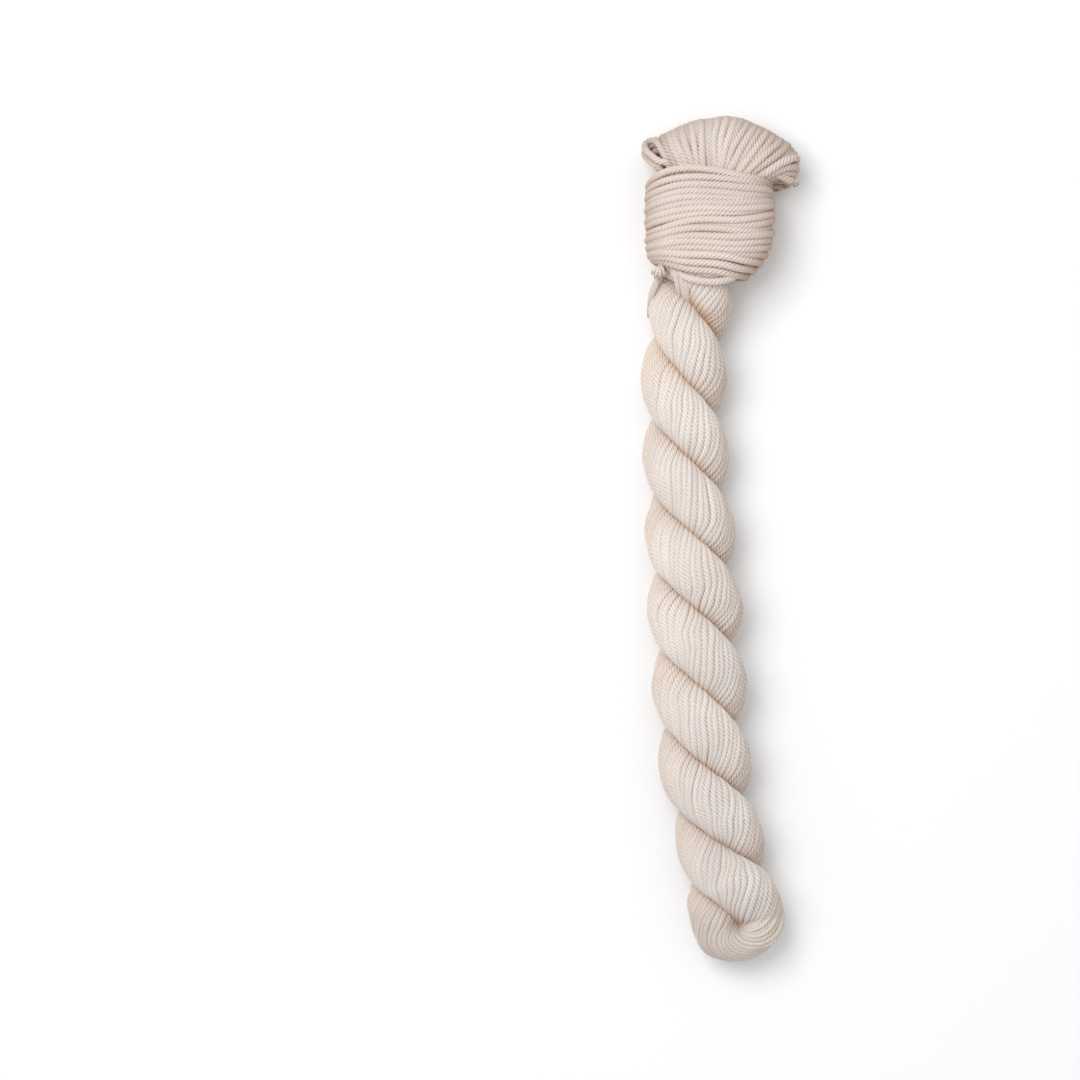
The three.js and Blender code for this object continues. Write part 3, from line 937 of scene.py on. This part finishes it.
# Single strands at the two ends of the opened loop and at the neck: points x, y, z.
LOOSE = {
    "eye_loop": (1.05, [
        (-13.0, 104.5, 15.0), (-15.6, 111.8, 19.8), (-18.2, 112.7, 19.6), (-20.1, 114.1, 18.6),
        (-21.8, 115.8, 16.6), (-22.6, 117.3, 14.8), (-22.5, 118.5, 13.6), (-21.5, 119.3, 13.4),
        (-20.0, 119.5, 14.2), (-18.8, 118.5, 16.0), (-17.9, 117.0, 17.2), (-17.0, 115.2, 18.0),
        (-15.9, 113.0, 18.2), (-14.0, 108.5, 16.0),
    ]),
    "eye_lower": (1.0, [
        (-14.0, 104.5, 14.0), (-17.8, 110.6, 17.6), (-19.5, 111.8, 17.0), (-20.9, 113.0, 15.4),
        (-22.2, 114.6, 12.8), (-22.6, 116.2, 10.0), (-21.8, 117.8, 7.2), (-20.0, 118.8, 5.0),
        (-17.5, 117.5, 3.4), (-15.0, 113.5, 2.4), (-13.0, 108.0, 2.6),
    ]),
    "eye_inner_a": (1.0, [
        (-15.0, 109.5, 5.0), (-18.5, 114.0, 6.4), (-21.0, 116.6, 9.2), (-21.2, 118.0, 11.8),
        (-19.8, 118.5, 13.4), (-18.0, 117.8, 14.0), (-16.0, 114.0, 14.0),
    ]),
    "eye_inner_b": (1.0, [
        (-14.5, 108.0, 7.0), (-18.2, 113.0, 9.2), (-19.9, 115.0, 11.2), (-19.4, 116.6, 12.8),
        (-17.6, 116.4, 13.6), (-15.5, 112.5, 14.0),
    ]),
    "eye_inner_c": (1.0, [
        (-15.0, 108.0, 4.0), (-18.4, 112.2, 4.6), (-20.6, 115.0, 5.8), (-20.4, 117.2, 7.6),
        (-18.6, 117.4, 9.0), (-16.0, 114.0, 9.6),
    ]),
    "eye_inner_d": (1.0, [
        (-14.0, 107.0, 2.4), (-17.4, 111.2, 2.4), (-19.2, 113.6, 3.0), (-19.0, 116.2, 4.2),
        (-16.8, 116.0, 5.4), (-14.5, 112.0, 6.0),
    ]),
    "eye_top": (1.0, [
        (-14.0, 112.0, 15.0), (-17.2, 117.0, 15.2), (-18.8, 119.6, 13.0), (-19.4, 120.0, 9.6),
        (-18.6, 118.8, 6.4), (-16.0, 115.0, 4.0),
    ]),
    "right_return_a": (1.3, [
        (8.0, 106.0, 18.0), (13.5, 109.4, 20.2), (18.0, 112.4, 19.6), (21.4, 113.9, 17.4),
        (22.7, 114.4, 14.6), (22.9, 113.6, 11.6), (21.6, 112.4, 9.0), (17.5, 110.8, 7.0),
        (12.0, 108.5, 6.0),
    ]),
    "right_return_b": (1.3, [
        (9.0, 105.0, 16.0), (14.5, 108.9, 18.6), (18.6, 110.9, 17.8), (21.8, 111.6, 15.4),
        (22.9, 111.2, 12.2), (22.4, 110.4, 9.4), (20.0, 109.6, 7.4), (15.5, 108.6, 6.0),
        (12.0, 107.0, 5.0),
    ]),
    "right_return_c": (1.2, [
        (10.0, 104.5, 14.0), (14.8, 108.2, 16.6), (18.6, 109.6, 16.2), (21.4, 109.7, 14.2),
        (22.4, 109.2, 11.4), (21.4, 108.6, 8.8), (18.0, 108.2, 6.8), (13.0, 106.5, 5.4),
    ]),
    "right_return_d": (1.2, [
        (9.0, 105.0, 12.0), (15.5, 109.2, 14.6), (19.6, 110.8, 13.8), (22.4, 112.0, 12.0),
        (22.6, 112.8, 9.4), (20.4, 112.0, 7.0), (16.0, 110.0, 5.6),
    ]),
    "right_end": (1.25, [
        (8.5, 105.5, 14.0), (12.0, 108.4, 16.6), (14.6, 109.4, 17.2), (17.3, 108.9, 16.6),
        (20.2, 107.8, 15.2), (21.9, 107.2, 14.4),
    ]),
    "right_inner_a": (1.2, [
        (8.0, 104.0, 3.6), (14.5, 108.6, 4.4), (17.8, 110.8, 8.2), (18.0, 111.2, 12.4),
        (15.5, 109.8, 16.2), (8.0, 105.0, 17.6),
    ]),
    "right_inner_b": (1.2, [
        (8.0, 103.0, 5.0), (14.0, 106.9, 5.6), (16.8, 108.6, 9.2), (16.4, 108.6, 13.2),
        (13.5, 107.4, 16.0), (8.0, 104.0, 16.6),
    ]),
    "right_inner_c": (1.2, [
        (7.5, 102.6, 6.0), (12.6, 105.3, 7.0), (15.0, 106.8, 10.4), (14.2, 106.6, 13.6),
        (11.5, 105.6, 15.6), (7.0, 103.0, 15.6),
    ]),
    "right_hollow_a": (0.95, [
        (10.5, 105.5, 9.6), (15.0, 107.6, 9.0), (19.0, 107.9, 8.0), (21.3, 107.3, 6.6),
        (20.4, 106.6, 4.6), (16.0, 106.2, 3.0), (10.5, 106.0, 2.2),
    ]),
    "right_hollow_b": (0.95, [
        (10.5, 107.5, 6.4), (15.5, 109.2, 5.8), (19.8, 109.2, 4.8), (21.8, 108.4, 3.2),
        (20.0, 107.6, 1.8), (15.0, 107.4, 1.3), (10.5, 107.2, 1.2),
    ]),
    "right_hollow_c": (0.9, [
        (10.5, 104.8, 8.6), (14.0, 106.0, 8.2), (17.2, 106.4, 7.2), (18.9, 106.2, 5.8),
        (17.2, 105.6, 4.0), (13.0, 105.2, 3.0), (10.5, 105.0, 2.6),
    ]),
    "neck_sag": (1.15, [
        (-13.2, 83.0, 19.0), (-12.9, 80.4, 21.6), (-12.0, 78.7, 23.6), (-9.6, 77.5, 25.4),
        (-6.4, 76.8, 26.3), (-3.0, 76.5, 26.2), (0.4, 76.9, 25.2), (3.2, 77.9, 23.2),
        (5.4, 79.4, 19.6), (7.2, 81.6, 14.0), (8.0, 84.0, 9.0),
    ]),
    "neck_under": (1.1, [
        (-11.0, 84.5, 21.0), (-9.6, 80.6, 24.0), (-7.0, 79.2, 24.6), (-3.6, 78.7, 24.8),
        (0.2, 78.9, 24.0), (2.8, 80.0, 21.6), (4.6, 82.0, 17.0),
    ]),
    "neck_cross_a": (0.95, [
        (-14.0, 83.5, 20.5), (-13.7, 79.4, 22.6), (-13.1, 76.9, 22.3), (-12.6, 74.8, 21.0),
        (-12.1, 73.4, 19.2), (-11.2, 71.6, 16.6), (-9.5, 69.0, 13.5),
    ]),
    "neck_cross_b": (1.0, [
        (-12.4, 83.0, 21.0), (-12.0, 79.0, 23.4), (-11.4, 76.0, 22.8), (-10.9, 73.6, 21.2),
        (-10.4, 71.6, 18.8), (-9.4, 69.4, 15.5),
    ]),
    "neck_cross_c": (0.95, [
        (-10.9, 83.0, 21.0), (-10.6, 79.0, 23.6), (-10.3, 76.0, 23.2), (-10.1, 73.4, 21.6),
        (-9.8, 71.2, 19.0), (-9.0, 69.0, 15.5),
    ]),
    "neck_shoulder": (0.9, [
        (-17.5, 82.0, 15.0), (-18.4, 78.6, 17.6), (-19.2, 76.2, 18.2), (-20.1, 73.6, 17.2),
        (-20.9, 70.5, 14.5), (-21.0, 67.0, 11.0),
    ]),
    "neck_behind": (1.0, [
        (-18.5, 80.5, 14.5), (-16.2, 79.2, 17.6), (-14.4, 78.2, 18.2), (-12.4, 77.4, 17.2),
        (-10.5, 77.5, 15.0),
    ]),
}

# The two cut ends of the yarn, beside the neck and at the right of the opened loop: what their
# plies have in common, and then each ply.
FRAYED = [
    ([(-15.4, 84.6, 16.5), (-16.8, 82.8, 19.0), (-17.8, 81.5, 21.6)], [
        [(-18.9, 80.9, 23.2), (-19.8, 80.1, 22.7), (-20.5, 79.1, 21.6)],
        [(-18.6, 80.5, 23.6), (-19.2, 79.2, 23.3), (-19.7, 77.9, 22.3)],
        [(-18.1, 80.4, 23.6), (-18.3, 79.0, 23.3), (-18.4, 77.7, 22.3)],
        [(-17.5, 80.6, 23.2), (-17.2, 79.4, 22.8), (-16.9, 78.2, 21.8)],
    ]),
    ([(18.6, 108.4, 16.0), (20.4, 107.7, 15.1)], [
        [(22.0, 107.5, 15.0), (23.3, 107.2, 14.6)],
        [(22.2, 107.1, 14.7), (23.5, 106.5, 14.2)],
        [(22.0, 106.8, 14.4), (23.1, 106.0, 13.8)],
        [(21.7, 106.9, 13.9), (22.5, 105.8, 13.2)],
    ]),
]
FRAYED_RADIUS = 0.62
FRAYED_TURN = 2.6
# painted light: the cut ends drawn lighter than the yarn around them
FRAYED_LIGHTENED = (1.1, 1.05, 1.0)


def loose_strands():
    strands = Strands()
    for radius, points in LOOSE.values():
        line = softened(spaced(smooth_through(points), FINE), 0.5, FINE)
        # painted shade where a strand lies low
        tint = strand_tone(0.04) * HEAD_SHADE * edge_shade(line, 8, 15, LEFT_EDGE_SHADE)
        strands.add(line, radius, tint)
    for before, plies in FRAYED:
        for ply in plies:
            line = smooth_through(before + ply)
            share = np.linspace(0, 1, len(line))
            fuller = 1 + 0.25 * smooth_step(share, 0.6, 0.85)
            radius = FRAYED_RADIUS * fuller * (1 - 0.5 * smooth_step(share, 0.9, 1))
            # the cut ends get painted light
            strands.add(line, radius, strand_tone(0.02) * FRAYED_LIGHTENED, turn=FRAYED_TURN)
    strands.made("loose_strands")


collar_strands()
collar_under()
collar_core()
fan_strands()
fan_core()
loose_strands()
rope_strands()
rope_core()


# ---- Surface, light and camera, in metres

FLOOR_SIZE = 3.0
SKY_STRENGTH = 0.80
LAMP_AT, LAMP_SIZE, LAMP_POWER = (-0.36, 0.32, 0.95), 0.6, 6.2
LENS, SENSOR = 150, 36
VIEW_WIDTH = 0.324  # of what the camera sees at VIEW_HEIGHT
VIEW_HEIGHT = 0.014
VIEW_MIDDLE = (-0.054, -0.0003)


def stage_material():
    material = bpy.data.materials.new("paper")
    material.use_nodes = True
    shader = material.node_tree.nodes["Principled BSDF"]
    shader.inputs["Base Color"].default_value = (0.93, 0.94, 0.95, 1)
    shader.inputs["Roughness"].default_value = 0.9
    shader.inputs["Specular IOR Level"].default_value = 0.1
    return material


def studio_sky():
    """Plain soft light from all round, brighter from above."""
    world = bpy.data.worlds.new("studio")
    bpy.context.scene.world = world
    world.use_nodes = True
    nodes, links = world.node_tree.nodes, world.node_tree.links
    direction = nodes.new("ShaderNodeTexCoord")
    height = nodes.new("ShaderNodeSeparateXYZ")
    brighter_up = nodes.new("ShaderNodeValToRGB")
    brighter_up.color_ramp.elements[0].color = (0.55, 0.55, 0.55, 1)
    brighter_up.color_ramp.elements[1].color = (1, 1, 1, 1)
    links.new(direction.outputs["Generated"], height.inputs["Vector"])
    links.new(height.outputs["Z"], brighter_up.inputs["Fac"])
    links.new(brighter_up.outputs["Color"], nodes["Background"].inputs["Color"])
    nodes["Background"].inputs["Strength"].default_value = SKY_STRENGTH


def softbox(name, place, size, power):
    """A square lamp that points at the origin."""
    light = bpy.data.lights.new(name, "AREA")
    light.shape = "SQUARE"
    light.size = size
    light.energy = power
    lamp = bpy.data.objects.new(name, light)
    lamp.location = place
    lamp.rotation_mode = "QUATERNION"
    lamp.rotation_quaternion = (-Vector(place)).to_track_quat("-Z", "Y")
    bpy.context.scene.collection.objects.link(lamp)


def camera_above():
    """The camera looks straight down."""
    camera = bpy.data.cameras.new("camera")
    camera.sensor_width = SENSOR
    camera.lens = LENS
    camera.clip_start, camera.clip_end = 0.05, 20
    viewer = bpy.data.objects.new("camera", camera)
    viewer.location = (*VIEW_MIDDLE, VIEW_WIDTH * LENS / SENSOR + VIEW_HEIGHT)
    bpy.context.scene.collection.objects.link(viewer)
    return viewer


bpy.ops.mesh.primitive_plane_add(size=FLOOR_SIZE)
floor = bpy.context.object
floor.name = "floor"
floor.data.materials.append(stage_material())

studio_sky()
softbox("key", LAMP_AT, LAMP_SIZE, LAMP_POWER)
bpy.context.scene.camera = camera_above()
bpy.context.scene.view_settings.view_transform = "Standard"
